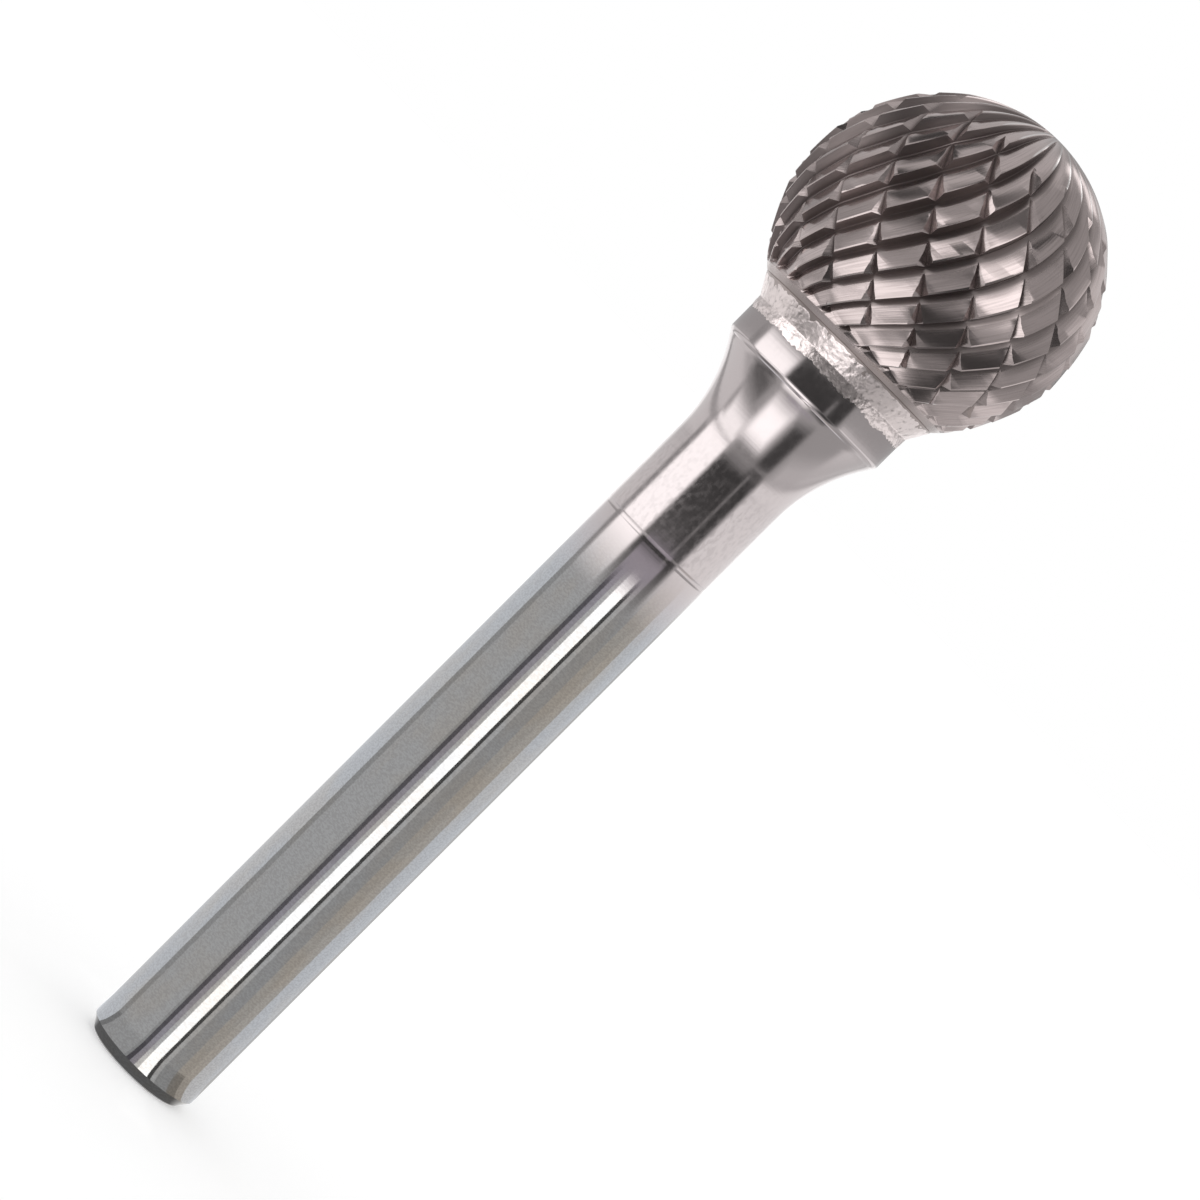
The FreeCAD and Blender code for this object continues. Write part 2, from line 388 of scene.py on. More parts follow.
def make_head():
    spans = HEAD_SPANS
    step = (FLUTE_END - FLUTE_START) / spans
    neck_top = BALL_CENTRE + on_ball(BALL_RADIUS, NECK_LATITUDE, 0.0)
    rings = [
        neck_ring(COLLAR_RADIUS, NECK_BOTTOM),
        neck_ring(neck_top.x + LIP, neck_top.z),
        neck_ring(neck_top.x, neck_top.z + LIP_RISE),
    ]
    for band in NECK_BANDS:
        latitude = NECK_LATITUDE + band * (FLUTE_START - NECK_LATITUDE)
        edge = BALL_CENTRE + on_ball(BALL_RADIUS, latitude, 0.0)
        rings.append(neck_ring(edge.x, edge.z))
    full_depth = FLUTE_START + FLUTE_RUN_OUT
    latitudes = spread(FLUTE_START, full_depth, RUN_OUT_STRIDE)
    latitudes += spread(full_depth, FLUTE_END, step)[1:]
    rings += [tooth_ring(latitude) for latitude in latitudes]
    for latitude in NOSE_RINGS:
        turns = [math.degrees(math.atan2(point.y, point.x)) for point in rings[-1]]
        rings.append([BALL_CENTRE + on_ball(BALL_RADIUS, latitude, turn) for turn in turns])
    mesh = ring_skin("carbide_head", rings, low_tip=Vector((0, 0, NECK_BOTTOM)),
                     high_tip=BALL_CENTRE + Vector((0, 0, BALL_RADIUS)))
    head = new_object("fluted_head", mesh)
    cut_away(head, breaker_cutters())
    shade_by_angle(head.data, HEAD_CREASE)
    return head


# Solder

# How far the skin reaches below and above the joint. Each pair has the mean share of that reach
# and how far the wavy edge swings about it.
SKIN_BELOW = 0.56 * MM
BELOW_SHARES = (0.88, 0.12)
SKIN_ABOVE = 1.02 * MM
ABOVE_SHARES = (0.985, 0.012)
# Number of waves in an edge, and the fewest and most turns that a wave takes round the joint
LOW_EDGE_WAVES = (10, 5, 110)
HIGH_EDGE_WAVES = (8, 5, 60)
SKIN_THICKNESS = 0.022 * MM
# Over these lengths the skin thins out to its upper and lower edges
SKIN_TAPER = 0.09 * MM
SKIN_FEATHER = 0.30 * MM
# How far inside the collar's face the skin's hidden inner face lies
SKIN_INSET = 0.15 * MM
SKIN_SIDES = 720
SKIN_ROWS = 40
SKIN_CREASE = 60
# Size of the coarse and fine lumps in the skin, and how high they stand
COARSE_LUMP = 0.30 * MM
FINE_LUMP = 0.15 * MM
LUMP_RISE = 0.018 * MM


def carrier_radius(height):
    """The radius of the collar or of the neck at a height."""
    if height <= NECK_BOTTOM:
        return COLLAR_RADIUS
    neck_top = BALL_CENTRE + on_ball(BALL_RADIUS, NECK_LATITUDE, 0.0)
    share = (height - NECK_BOTTOM) / (neck_top.z - NECK_BOTTOM)
    return COLLAR_RADIUS + share * (neck_top.x - COLLAR_RADIUS)


def waviness(rng, waves, fewest, most):
    """A wavy line round the joint, as a sum of sine waves, mostly within -1 to 1."""
    parts = [(rng.uniform(0.4, 1.0), rng.randint(fewest, most), rng.uniform(0, 2 * math.pi))
             for _ in range(waves)]
    scale = 1.6 / len(parts) ** 0.5

    def wave(turn):
        return scale * sum(size * math.sin(count * turn + shift) for size, count, shift in parts)

    return wave


def skin_rise(low, high, height, turn):
    """How far the skin stands off what carries it, thin at its edges and lumpy between them."""
    edge = min(1.0, (height - low) / SKIN_FEATHER, (high - height) / SKIN_TAPER)
    place = turned_point(COLLAR_RADIUS, turn, height)
    lumps = noise.noise(place / COARSE_LUMP) + 0.5 * noise.noise(place / FINE_LUMP)
    return edge * (SKIN_THICKNESS + LUMP_RISE * lumps)


def make_braze():
    """The solder line with the thin uneven skin that it left on the collar and on the neck."""
    rng = random.Random(7)
    low_edge = waviness(rng, *LOW_EDGE_WAVES)
    high_edge = waviness(rng, *HIGH_EDGE_WAVES)
    inner = COLLAR_RADIUS - SKIN_INSET
    turns = round_turns(SKIN_SIDES)
    edges = []
    for turn in turns:
        below = BELOW_SHARES[0] + BELOW_SHARES[1] * low_edge(turn)
        above = ABOVE_SHARES[0] + ABOVE_SHARES[1] * high_edge(turn)
        edges.append((BRAZE_LOW.z - SKIN_BELOW * below, BRAZE_HIGH.z + SKIN_ABOVE * above))
    rings = [[turned_point(inner, turn, BRAZE_LOW.z) for turn in turns]]
    for row in range(SKIN_ROWS + 1):
        ring = []
        for turn, (low, high) in zip(turns, edges):
            height = low + row / SKIN_ROWS * (high - low)
            radius = carrier_radius(height) + skin_rise(low, high, height, turn)
            ring.append(turned_point(radius, turn, height))
        rings.append(ring)
    rings.append([turned_point(inner, turn, BRAZE_HIGH.z) for turn in turns])
    mesh = ring_skin("braze_joint", rings, low_tip=Vector((0, 0, BRAZE_LOW.z)),
                     high_tip=Vector((0, 0, BRAZE_HIGH.z)))
    shade_by_angle(mesh, SKIN_CREASE)
    return new_object("solder_line", mesh)


# Materials. Places in them are the frame's own, through the object coordinates.

class Wiring:
    """Short names for the few kinds of node that the materials use."""

    def __init__(self, tree):
        self.tree = tree

    def link(self, value, socket):
        """Joins another socket to this one, or sets a number or a colour on it."""
        if isinstance(value, bpy.types.NodeSocket):
            self.tree.links.new(value, socket)
        elif isinstance(value, tuple) and len(value) == 3 and socket.type == "RGBA":
            socket.default_value = (*value, 1)
        else:
            socket.default_value = value

    def math(self, operation, first, second=0.0):
        node = self.tree.nodes.new("ShaderNodeMath")
        node.operation = operation
        self.link(first, node.inputs[0])
        self.link(second, node.inputs[1])
        return node.outputs[0]

    def product(self, *values):
        """All the values multiplied, each a number or a socket."""
        so_far = values[0]
        for value in values[1:]:
            so_far = self.math("MULTIPLY", so_far, value)
        return so_far

    def total(self, *values):
        """All the values added up."""
        so_far = values[0]
        for value in values[1:]:
            so_far = self.math("ADD", so_far, value)
        return so_far

    def place(self):
        """The place on the object, in metres, which is the frame's own."""
        return self.tree.nodes.new("ShaderNodeTexCoord").outputs["Object"]

    def split(self, vector):
        node = self.tree.nodes.new("ShaderNodeSeparateXYZ")
        self.link(vector, node.inputs[0])
        return node.outputs[0], node.outputs[1], node.outputs[2]

    def join(self, x, y, z):
        node = self.tree.nodes.new("ShaderNodeCombineXYZ")
        for value, socket in zip((x, y, z), node.inputs):
            self.link(value, socket)
        return node.outputs[0]

    def scaled(self, vector, scale):
        node = self.tree.nodes.new("ShaderNodeMapping")
        self.link(vector, node.inputs["Vector"])
        node.inputs["Scale"].default_value = scale
        return node.outputs[0]

    def noise(self, vector, scale, detail):
        node = self.tree.nodes.new("ShaderNodeTexNoise")
        self.link(vector, node.inputs["Vector"])
        node.inputs["Scale"].default_value = scale
        node.inputs["Detail"].default_value = detail
        return node.outputs["Fac"]

    def ramp(self, value, low, high, to_low=0.0, to_high=1.0):
        """value taken smoothly from low..high to to_low..to_high, and held beyond."""
        node = self.tree.nodes.new("ShaderNodeMapRange")
        node.interpolation_type = "SMOOTHSTEP"
        self.link(value, node.inputs["Value"])
        node.inputs["From Min"].default_value = low
        node.inputs["From Max"].default_value = high
        node.inputs["To Min"].default_value = to_low
        node.inputs["To Max"].default_value = to_high
        return node.outputs["Result"]

    def mix(self, share, first, second):
        node = self.tree.nodes.new("ShaderNodeMix")
        node.data_type = "RGBA"
        self.link(share, node.inputs["Factor"])
        self.link(first, node.inputs[6])
        self.link(second, node.inputs[7])
        return node.outputs[2]

    def flatness(self, x, y, up, reach):
        """How far the surface faces straight out from the ball: 1 on its skin, 0 on a wall."""
        geometry = self.tree.nodes.new("ShaderNodeNewGeometry")
        facing = self.split(geometry.outputs["True Normal"])
        outward = self.total(self.product(facing[0], x), self.product(facing[1], y),
                             self.product(facing[2], up))
        return self.math("DIVIDE", outward, reach)

    def bump(self, height, depth, under=None):
        node = self.tree.nodes.new("ShaderNodeBump")
        node.inputs["Strength"].default_value = 1.0
        node.inputs["Distance"].default_value = depth
        self.link(height, node.inputs["Height"])
        if under is not None:
            self.link(under, node.inputs["Normal"])
        return node.outputs["Normal"]


def new_material(name):
    """A material with one Principled shader, and the wiring and the shader to build it with."""
    material = bpy.data.materials.new(name)
    material.use_nodes = True
    nodes = material.node_tree.nodes
    nodes.clear()
    output = nodes.new("ShaderNodeOutputMaterial")
    shader = nodes.new("ShaderNodeBsdfPrincipled")
    material.node_tree.links.new(shader.outputs["BSDF"], output.inputs["Surface"])
    return material, Wiring(material.node_tree), shader


GROUND_STEEL = (0.55, 0.555, 0.56)
POLISHED_STEEL = (0.63, 0.572, 0.572)
STAINED_STEEL = (0.555, 0.535, 0.51)
SPECK = (0.30, 0.28, 0.28)
# Where the ground finish of the shank begins and ends to turn into the polish of the flare
POLISH_FROM = 30.5 * MM
POLISH_TO = 35.3 * MM
# Above the ring line the polish is mottled, up to where that begins and ends to fade
MOTTLED_FROM = RING_LINE_HEIGHT
MOTTLED_FULL = RING_LINE_HEIGHT + 0.2 * MM
MOTTLED_FADE = 38.5 * MM
MOTTLED_TO = 41.5 * MM
# Scales of the noise patterns in the steel, in steps a metre across and along the axis
TURNING_LINES = (60, 60, 9000)
STAIN_PATCHES = (520, 520, 260)
MOTTLE = (5200, 5200, 3000)
GRIT = (6500, 6500, 11000)
# How much of the speck's colour the grit and the mottle show
GRIT_SHARE = 0.30
MOTTLE_SHARE = 0.08
# Roughness of the ground finish, and what the polish and the mottle add to it
GROUND_ROUGHNESS = (0.05, 0.085)
POLISH_ROUGHER = 0.075
MOTTLE_ROUGHER = 0.05
STEEL_GRAIN_DEPTH = 0.0003 * MM
TURNING_LINE_DEPTH = 0.0010 * MM


def steel_material():
    """Ground below the ring line and polished above it, both with fine lines round the bar."""
    material, wiring, shader = new_material("ground_steel")
    place = wiring.place()
    height = wiring.split(place)[2]
    polished = wiring.ramp(height, POLISH_FROM, POLISH_TO)
    rings = wiring.noise(wiring.scaled(place, TURNING_LINES), 1.0, 3.0)
    patches = wiring.noise(wiring.scaled(place, STAIN_PATCHES), 1.0, 4.0)
    mottle = wiring.noise(wiring.scaled(place, MOTTLE), 1.0, 3.0)
    grit = wiring.noise(wiring.scaled(place, GRIT), 1.0, 3.0)
    above = wiring.ramp(height, MOTTLED_FROM, MOTTLED_FULL)
    below = wiring.ramp(height, MOTTLED_FADE, MOTTLED_TO, 1.0, 0.0)
    mottled = wiring.product(above, below, wiring.ramp(mottle, 0.42, 0.66))

    ground = wiring.mix(wiring.ramp(patches, 0.40, 0.66), GROUND_STEEL, STAINED_STEEL)
    ground = wiring.mix(wiring.ramp(grit, 0.36, 0.64, 0.0, GRIT_SHARE), ground, SPECK)
    colour = wiring.mix(polished, ground, POLISHED_STEEL)
    colour = wiring.mix(wiring.product(mottled, MOTTLE_SHARE), colour, SPECK)
    wiring.link(colour, shader.inputs["Base Color"])
    shader.inputs["Metallic"].default_value = 1.0

    satin = wiring.ramp(mottle, 0.35, 0.7, *GROUND_ROUGHNESS)
    rough = wiring.total(satin, wiring.product(polished, POLISH_ROUGHER),
                         wiring.product(mottled, MOTTLE_ROUGHER))
    wiring.link(rough, shader.inputs["Roughness"])
    grain = wiring.bump(mottle, STEEL_GRAIN_DEPTH)
    wiring.link(wiring.bump(rings, TURNING_LINE_DEPTH, grain), shader.inputs["Normal"])
    return material


CARBIDE = (0.56, 0.480, 0.470)
CARBIDE_SATIN = (0.47, 0.405, 0.39)
# Dark colour of the grinding streaks, and the painted shade of the gullets and rake faces
PAINTED_SHADE_AND_STREAK = (0.10, 0.082, 0.078)
# Painted highlight along the teeth's edges, standing in for the glint that they catch
EDGE_HIGHLIGHT = (0.86, 0.82, 0.81)
# Depths below the ball's skin at which the gullets' painted shade begins and is full, the steep
# rake faces' painted shade begins and is full, and the edges' painted highlight is brightest and
# ends
GULLET_DEPTHS = (0.24 * MM, 0.46 * MM)
RAKE_DEPTHS = (0.02 * MM, 0.08 * MM)
EDGE_HIGHLIGHT_DEPTHS = (0.004 * MM, 0.022 * MM)
# Latitudes over which the fluted finish and the edges' painted highlight set in, and the highlight
# ends
FLUTED_FROM = (-46.5, -43.0)
EDGE_HIGHLIGHT_FROM = (-42.0, -38.0)
EDGE_HIGHLIGHT_TO = (74.0, 80.0)
# How much of the dark colour shows in the streaks and as painted shade, and of the painted
# highlight
STREAK_SHARE = 0.16
GULLET_SHADE_SHARE = 0.68
EDGE_HIGHLIGHT_SHARE = 0.75
# Roughness of the tooth backs, and what a gullet and the neck add to it
BACK_ROUGHNESS = (0.14, 0.20)
GULLET_ROUGHER = 0.2
NECK_ROUGHER = 0.16
WHEEL_MARKS = 1.3
WHEEL_MARK_DEPTH = 0.0024 * MM


def carbide_material():
    """Ground carbide: bright tooth backs and painted edge highlights, painted gullet shade, a
    satin neck.
    """
    material, wiring, shader = new_material("cemented_carbide")
    x, y, z = wiring.split(wiring.place())
    up = wiring.math("SUBTRACT", z, BALL_CENTRE.z)
    across = wiring.math("SQRT", wiring.total(wiring.product(x, x), wiring.product(y, y)))
    reach = wiring.math("SQRT", wiring.total(wiring.product(across, across),
                                             wiring.product(up, up)))
    latitude = wiring.math("DEGREES", wiring.math("ARCTAN2", up, across))
    longitude = wiring.math("DEGREES", wiring.math("ARCTAN2", y, x))

    # Grinding marks run along the flutes, so they follow flute_turn
    lag = wiring.product(latitude, latitude, FLUTE_LEAD / (2 * FLUTE_STRAIGHT))
    turn = wiring.math("SUBTRACT", wiring.product(latitude, FLUTE_LEAD), lag)
    along_flutes = wiring.join(wiring.math("SUBTRACT", longitude, turn),
                               wiring.product(latitude, 0.05), 0.0)
    wheel_marks = wiring.noise(along_flutes, WHEEL_MARKS, 3.0)

    # Painted shade: the gullets and the steep rake faces are darkened where shade falls in them
    depth = wiring.math("SUBTRACT", BALL_RADIUS, reach)
    shrink = wiring.ramp(latitude, 20.0, FLUTE_END, 1.0, 0.35)
    deep = wiring.ramp(wiring.math("DIVIDE", depth, shrink), *GULLET_DEPTHS)
    steep = wiring.ramp(wiring.flatness(x, y, up, reach), 0.42, 0.60, 1.0, 0.0)
    steep = wiring.product(steep, wiring.ramp(depth, *RAKE_DEPTHS))
    fluted = wiring.ramp(latitude, *FLUTED_FROM)
    shaded_gullet = wiring.product(wiring.math("MAXIMUM", deep, steep), fluted)

    streak = wiring.product(wiring.ramp(wheel_marks, 0.40, 0.66), fluted, STREAK_SHARE)
    body = wiring.mix(fluted, CARBIDE_SATIN, CARBIDE)
    body = wiring.mix(streak, body, PAINTED_SHADE_AND_STREAK)
    # Painted shade in the gullets and on the rake faces
    colour = wiring.mix(wiring.product(shaded_gullet, GULLET_SHADE_SHARE), body, PAINTED_SHADE_AND_STREAK)
    # Painted highlight on the narrow lands at the cutting edges
    edge = wiring.ramp(depth, *EDGE_HIGHLIGHT_DEPTHS, 1.0, 0.0)
    toothed = wiring.product(wiring.ramp(latitude, *EDGE_HIGHLIGHT_FROM),
                             wiring.ramp(latitude, *EDGE_HIGHLIGHT_TO, 1.0, 0.0))
    colour = wiring.mix(wiring.product(edge, toothed, EDGE_HIGHLIGHT_SHARE), colour, EDGE_HIGHLIGHT)
    wiring.link(colour, shader.inputs["Base Color"])
    shader.inputs["Metallic"].default_value = 1.0

    neck = wiring.math("SUBTRACT", 1.0, fluted)
    rough = wiring.total(wiring.ramp(wheel_marks, 0.3, 0.7, *BACK_ROUGHNESS),
                         wiring.product(shaded_gullet, GULLET_ROUGHER),
                         wiring.product(neck, NECK_ROUGHER))
    wiring.link(rough, shader.inputs["Roughness"])
    wiring.link(wiring.bump(wheel_marks, WHEEL_MARK_DEPTH), shader.inputs["Normal"])
    return material


SOLDER = (0.93, 0.83, 0.815)
SOLDER_SHADE = (0.50, 0.45, 0.44)
# Scales of the noise patterns in the solder, in steps a metre
SOLDER_GRAINS = 4800.0
SOLDER_PITS = 3400.0
SOLDER_GRAIN_DEPTH = 0.026 * MM
SOLDER_ROUGHNESS = 0.28


def solder_material():
    """Bright, grainy and pitted, with small dark spots."""
    material, wiring, shader = new_material("silver_solder")
    place = wiring.place()
    grains = wiring.noise(place, SOLDER_GRAINS, 3.0)
    pits = wiring.noise(place, SOLDER_PITS, 4.0)
    dark = wiring.ramp(pits, 0.52, 0.76)
    wiring.link(wiring.mix(dark, SOLDER, SOLDER_SHADE), shader.inputs["Base Color"])
    shader.inputs["Metallic"].default_value = 1.0
    shader.inputs["Roughness"].default_value = SOLDER_ROUGHNESS
    wiring.link(wiring.bump(grains, SOLDER_GRAIN_DEPTH), shader.inputs["Normal"])
    return material


def glowing(name, strength, tint):
    """Light that fades out where the panel's own solidity does."""
    material = bpy.data.materials.new(name)
    material.use_nodes = True
    tree = material.node_tree
    tree.nodes.clear()
    output = tree.nodes.new("ShaderNodeOutputMaterial")
    glow = tree.nodes.new("ShaderNodeEmission")
    glow.inputs["Color"].default_value = (*tint, 1)
    glow.inputs["Strength"].default_value = strength
    clear = tree.nodes.new("ShaderNodeBsdfTransparent")
    solidity = tree.nodes.new("ShaderNodeAttribute")
    solidity.attribute_name = "solidity"
    mix = tree.nodes.new("ShaderNodeMixShader")
    tree.links.new(solidity.outputs["Fac"], mix.inputs[0])
    tree.links.new(clear.outputs[0], mix.inputs[1])
    tree.links.new(glow.outputs[0], mix.inputs[2])
    tree.links.new(mix.outputs[0], output.inputs["Surface"])
    return material


# Studio: a soft grey tent round the burr, with lamps and dark flags on it, and a close sleeve of
# narrow panels round the shank. Only the metal's reflections see them.

PLAIN = (1.0, 1.0, 1.0)
COOL = (0.96, 0.99, 1.04)
WARM = (1.06, 1.0, 0.92)
LILAC = (1.0, 0.95, 1.06)

TENT_RADIUS = 0.16
TENT_STRIDE = 6
# How high above the floor the tent ends, and how much more its inner panels do for each share of
# the radius that they stand in
TENT_FLOOR = 0.001
TENT_FLOOR_RISE = 20
# Each: name, from and to direction round the axis (0 is to the viewer, positive to the viewer's
# right), lowest and highest elevation seen from the ball's centre, brightness, how soft its
# edges are in degrees, how far in from the tent as a share of its radius
TENT = (
    ("tent", -180, 180, -80, 90, 0.44, 0, 0.0),
    ("upper_left_glow", -178, -58, 6, 86, 0.66, 12, 0.01),
    ("left_wall", -160, -86, -44, -3, 0.80, 5, 0.02),
    ("left_rim", -192, -148, -44, -3, 1.15, 5, 0.03),
    ("left_line", -101, -87, -17, 3, 0.34, 4, 0.05),
    ("low_left_glow", -138, -84, -62, -36, 0.56, 8, 0.015),
    ("left_lamp", -88, -30, -26, 4, 1.60, 4, 0.04),
    ("left_lamp_low", -84, -30, -42, -16, 1.50, 11, 0.035),
    ("lower_lamp", -38, 18, -64, -24, 1.70, 12, 0.03),
    ("low_dark", -98, -46, -64, -42, 0.14, 9, 0.05),
    ("front_flag", -30, 52, -14, 9, 0.055, 3, 0.06),
    ("front_slit", 28, 34, -15, 2, 0.30, 2, 0.08),
    ("front_shade", -28, 30, -30, -8, 0.26, 8, 0.045),
    ("lower_flag", 19, 54, -60, -8, 0.07, 8, 0.05),
    ("front_lamp", -14, 34, 19, 50, 1.85, 5, 0.02),
    ("right_glow", 54, 152, -17, -3, 1.0, 3, 0.035),
    ("right_low", 54, 166, -42, -9, 0.66, 14, 0.03),
    ("right_wall", 100, 172, -52, -3, 0.80, 10, 0.02),
    ("upper_right_glow", 96, 172, 8, 50, 0.85, 10, 0.01),
    ("right_rim", 150, 194, -24, -2, 1.15, 5, 0.03),
    ("upper_flag", -58, -10, 44, 74, 0.16, 6, 0.02),
    ("high_flag_1", -96, -52, 18, 32, 0.06, 4, 0.030),
    ("high_flag_2", 12, 38, 58, 76, 0.06, 4, 0.031),
    ("high_lamp_1", -60, -34, 18, 36, 1.70, 4, 0.032),
    ("high_flag_3", -32, 8, 21, 32, 0.12, 4, 0.033),
    ("right_flag", 36, 69, 6, 22, 0.08, 4, 0.045),
    ("high_lamp_2", 144, 188, 48, 62, 1.70, 4, 0.034),
    ("high_glow", -36, 8, 38, 52, 1.20, 4, 0.035),
    ("high_flag_4", -132, -88, 38, 52, 0.06, 4, 0.036),
    ("high_flag_5", -144, -100, 28, 42, 0.06, 4, 0.037),
)

SLEEVE_RADIUS = 9.0 * MM
SLEEVE_STRIDE = 5
# Heights of the sleeve's foot, of where it begins to fade and of where it ends
SLEEVE_HEIGHTS = (0.0, 31.6 * MM, 35.0 * MM)
# Between these places across the shank the sleeve ends sooner, and a grey cap stands behind it
SLEEVE_FRONT = (-0.17, 0.33)
FRONT_HEIGHTS = (0.0, 32.2 * MM, 33.6 * MM)
CAP_RADIUS = SLEEVE_RADIUS + 0.4 * MM
CAP_HEIGHTS = (31.0 * MM, 34.55 * MM, 35.1 * MM)
CAP_BRIGHTNESS = 0.42
BACK_BRIGHTNESS = 0.80
# The sleeve goes on over the floor at this height, in to this radius
SLEEVE_FLOOR = 0.05 * MM
SLEEVE_FOOT = 4.2 * MM
# Under the chamfer: name, from and to direction round the axis, how soft its ends are in
# degrees, brightness, height
FOOT = (
    ("foot_pale", -180, 180, 0, 0.85, 0.04 * MM),
    ("foot_dark", -95, 85, 25, 0.16, 0.06 * MM),
)
# Each: from and to place of the reflection across the shank as the camera sees it, from -1 at
# its left edge to 1 at its right edge, brightness, the same on the floor below, and tint
SLEEVE = (
    (-1.00, -0.985, 1.30, 1.30, PLAIN),
    (-0.985, -0.75, 0.86, 0.86, COOL),
    (-0.75, -0.675, 0.43, 0.30, PLAIN),
    (-0.675, -0.20, 0.57, 0.50, PLAIN),
    (-0.20, -0.16, 0.44, 0.40, PLAIN),
    (-0.16, -0.095, 0.15, 0.12, LILAC),
    (-0.095, -0.015, 0.46, 0.42, LILAC),
    (-0.015, 0.05, 0.72, 0.90, PLAIN),
    (0.05, 0.205, 2.00, 2.00, PLAIN),
    (0.205, 0.26, 0.10, 0.10, PLAIN),
    (0.26, 0.325, 0.64, 0.60, PLAIN),
    (0.325, 0.52, 0.45, 0.40, PLAIN),
    (0.52, 0.66, 0.51, 0.30, WARM),
    (0.66, 0.765, 0.57, 0.50, WARM),
    (0.765, 0.97, 0.85, 0.85, COOL),
    (0.97, 1.00, 0.60, 0.60, PLAIN),
)


def glowing_panel(name, rings, solidities, strength, tint):
    """A panel through rows of points, with as many rows of how solid it is at each of them."""
    count = len(rings[0])
    points = [point for ring in rings for point in ring]
    faces = []
    for level in range(len(rings) - 1):
        low, high = level * count, (level + 1) * count
        faces += [(low + here, low + here + 1, high + here + 1, high + here)
                  for here in range(count - 1)]
    mesh = bpy.data.meshes.new(name)
    mesh.from_pydata(points, [], faces)
    solidity = mesh.attributes.new("solidity", "FLOAT", "POINT")
    solidity.data.foreach_set("value", [value for row in solidities for value in row])
    panel = new_object(name, mesh)
    panel.data.materials.append(glowing(name, strength, tint))
    panel.visible_camera = False
    panel.visible_shadow = False
    panel.visible_diffuse = False


def solid_at(inside, soft):
    """How solid a panel is that far inside its edge, where the edge is soft over that width."""
    return min(1.0, inside / soft) if soft else 1.0


def tent_point(around, elevation, inward):
    """A point of the tent, which is a ball round the head that ends on the floor."""
    flat = math.cos(math.radians(elevation))
    toward = Vector((flat * math.sin(math.radians(around)), -flat * math.cos(math.radians(around)),
                     math.sin(math.radians(elevation))))
    distance = TENT_RADIUS * (1 - inward)
    floor = TENT_FLOOR * (1 + inward * TENT_FLOOR_RISE)
    if BALL_CENTRE.z + toward.z * distance < floor:
        distance = (BALL_CENTRE.z - floor) / -toward.z
    return BALL_CENTRE + toward * distance


def make_tent():
    for name, first, last, low, high, strength, soft, inward in TENT:
        stride = max(1.0, soft / 2) if soft else TENT_STRIDE
        turns = spread(first, last, stride)
        rings, solidities = [], []
        for elevation in spread(low, high, stride):
            rings.append([tent_point(around, elevation, inward) for around in turns])
            insides = [min(around - first, last - around, elevation - low, high - elevation)
                       for around in turns]
            solidities.append([solid_at(inside, soft) for inside in insides])
        glowing_panel(name, rings, solidities, strength, PLAIN)


def sleeve_angle(share):
    """Where on the sleeve a ray from the camera lands after it meets the shank at that share."""
    turn = 2 * math.asin(share) - math.asin(SHANK_RADIUS / SLEEVE_RADIUS * share)
    return math.degrees(turn)


def round_axis(radius, angle, height):
    """A point at an angle round the axis from the viewer's side."""
    turn = math.radians(angle)
    return Vector((radius * math.sin(turn), -radius * math.cos(turn), height))


def standing_panel(name, radius, angles, heights, strength, tint):
    """A curved panel round the shank, solid up to its second height and clear at its third."""
    rings = [[round_axis(radius, angle, height) for angle in angles] for height in heights]
    full, none = [1.0] * len(angles), [0.0] * len(angles)
    glowing_panel(name, rings, [full, full, none], strength, tint)


def lying_panel(name, radii, angles, height, solidity, strength, tint):
    """A flat panel round the shank, between two radii, with how solid it is at each angle."""
    rings = [[round_axis(radius, angle, height) for angle in angles] for radius in radii]
    glowing_panel(name, rings, [solidity, solidity], strength, tint)


def make_sleeve():
    for number, (first, last, strength, floor_strength, tint) in enumerate(SLEEVE):
        angles = spread(sleeve_angle(first), sleeve_angle(last), SLEEVE_STRIDE)
        in_front = SLEEVE_FRONT[0] < (first + last) / 2 < SLEEVE_FRONT[1]
        heights = FRONT_HEIGHTS if in_front else SLEEVE_HEIGHTS
        standing_panel(f"sleeve_{number:02d}", SLEEVE_RADIUS, angles, heights, strength, tint)
        lying_panel(f"sleeve_floor_{number:02d}", (SLEEVE_FOOT, SLEEVE_RADIUS), angles,
                    SLEEVE_FLOOR, [1.0] * len(angles), floor_strength, tint)
    edge = sleeve_angle(1.0)
    behind = spread(edge, 360 - edge, SLEEVE_STRIDE)
    standing_panel("sleeve_back", SLEEVE_RADIUS, behind, SLEEVE_HEIGHTS, BACK_BRIGHTNESS, COOL)
    front = spread(sleeve_angle(SLEEVE_FRONT[0]), sleeve_angle(SLEEVE_FRONT[1]), SLEEVE_STRIDE)
    standing_panel("sleeve_cap", CAP_RADIUS, front, CAP_HEIGHTS, CAP_BRIGHTNESS, LILAC)
    for name, first, last, soft, strength, height in FOOT:
        angles = spread(first, last, SLEEVE_STRIDE)
        solidity = [solid_at(min(angle - first, last - angle), soft) for angle in angles]
        lying_panel(name, (SHANK_RADIUS - CHAMFER_DEPTH, SLEEVE_FOOT), angles, height, solidity,
                    strength, PLAIN)


FLOOR_SIZE = 3.0
FLOOR_COLOUR = (0.80, 0.80, 0.80)
# What the floor gives off to the camera and the reflections, so that it reads as white
FLOOR_LIFT = 0.30


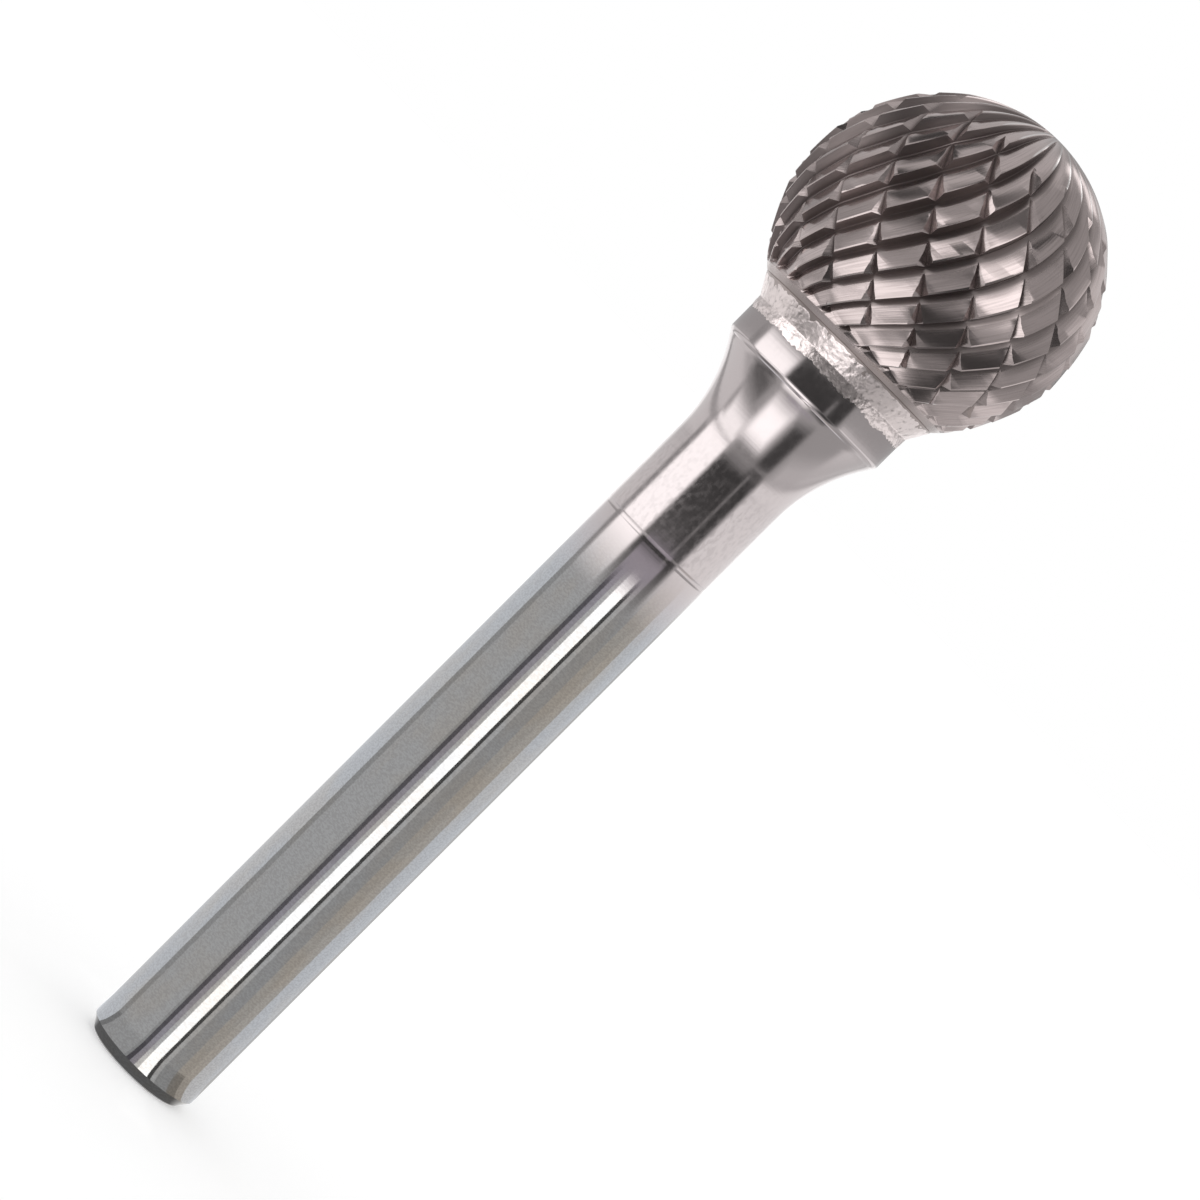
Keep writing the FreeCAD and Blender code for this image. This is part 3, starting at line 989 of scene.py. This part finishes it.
def make_floor():
    """A pale floor that reads as the white background and still takes the burr's shadow."""
    size = FLOOR_SIZE
    mesh = bpy.data.meshes.new("floor")
    mesh.from_pydata([(-size, -size, 0), (size, -size, 0), (size, size, 0), (-size, size, 0)],
                     [], [(0, 1, 2, 3)])
    floor = new_object("floor", mesh)
    material, wiring, shader = new_material("floor_white")
    shader.inputs["Base Color"].default_value = (*FLOOR_COLOUR, 1)
    shader.inputs["Roughness"].default_value = 0.9
    shader.inputs["Specular IOR Level"].default_value = 0.1
    shader.inputs["Emission Color"].default_value = (1, 1, 1, 1)
    lift = wiring.product(background_ray(wiring), FLOOR_LIFT)
    wiring.link(lift, shader.inputs["Emission Strength"])
    floor.data.materials.append(material)


def background_ray(wiring):
    """1 for the rays that should see the white background, and 0 for the light on the object."""
    path = wiring.tree.nodes.new("ShaderNodeLightPath")
    seen = wiring.math("MAXIMUM", path.outputs["Is Camera Ray"], path.outputs["Is Glossy Ray"])
    return wiring.math("MAXIMUM", seen, path.outputs["Is Transmission Ray"])


# How strongly the white world lights the object and the floor
WORLD_LIGHT = 0.9


def set_world():
    """White to the camera and the reflections, and a plain even light to everything else."""
    world = bpy.data.worlds.new("studio")
    bpy.context.scene.world = world
    world.use_nodes = True
    wiring = Wiring(world.node_tree)
    nodes = world.node_tree.nodes
    nodes.clear()
    output = nodes.new("ShaderNodeOutputWorld")
    sky = nodes.new("ShaderNodeBackground")
    sky.inputs["Color"].default_value = (1, 1, 1, 1)
    seen = background_ray(wiring)
    lit = wiring.product(wiring.math("SUBTRACT", 1.0, seen), WORLD_LIGHT)
    wiring.link(wiring.total(seen, lit), sky.inputs["Strength"])
    wiring.link(sky.outputs[0], output.inputs["Surface"])


# Camera: the burr runs from lower left to upper right, its tip leaning a little to the viewer

CAMERA_ELEVATION = 3.6
AXIS_FROM_VERTICAL = 45.0
PIXELS_PER_MM = 20.93
IMAGE_SIZE = 1200
# Where the centre of the shank's end face lies in the photograph
END_PIXEL = (135.9, 1064.4)
LENS = 130.0
SENSOR = 36.0


def make_camera():
    """A long lens, aimed so that the shank's end face lies where it does in the photograph."""
    elevation = math.radians(CAMERA_ELEVATION)
    back = Vector((0, -math.cos(elevation), math.sin(elevation)))
    up = Vector((0, math.sin(elevation), math.cos(elevation)))
    right = Vector((1, 0, 0))
    roll = math.radians(AXIS_FROM_VERTICAL)
    image_up = up * math.cos(roll) - right * math.sin(roll)
    image_right = right * math.cos(roll) + up * math.sin(roll)
    image_mm = IMAGE_SIZE / PIXELS_PER_MM
    distance = image_mm * MM * LENS / SENSOR
    offset_x = (END_PIXEL[0] - IMAGE_SIZE / 2) / PIXELS_PER_MM * MM
    offset_y = (IMAGE_SIZE / 2 - END_PIXEL[1]) / PIXELS_PER_MM * MM
    aim = -(image_right * offset_x + image_up * offset_y)
    data = bpy.data.cameras.new("camera")
    data.lens = LENS
    data.sensor_width = SENSOR
    data.clip_start = 0.01
    data.clip_end = 20.0
    camera = new_object("camera", data)
    camera.matrix_world = Matrix((
        (image_right.x, image_up.x, back.x, aim.x + back.x * distance),
        (image_right.y, image_up.y, back.y, aim.y + back.y * distance),
        (image_right.z, image_up.z, back.z, aim.z + back.z * distance),
        (0, 0, 0, 1),
    ))
    bpy.context.scene.camera = camera


make_camera()
set_world()
make_floor()
make_tent()
make_sleeve()

shank = make_shank()
shank.data.materials.append(steel_material())
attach(shank, "root")
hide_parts("steel_shank")

head = make_head()
head.data.materials.clear()
head.data.materials.append(carbide_material())
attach(head, "root")
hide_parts("carbide_head")

braze = make_braze()
braze.data.materials.append(solder_material())
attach(braze, "root")
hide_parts("braze_joint")

bpy.context.scene.view_settings.view_transform = "Standard"
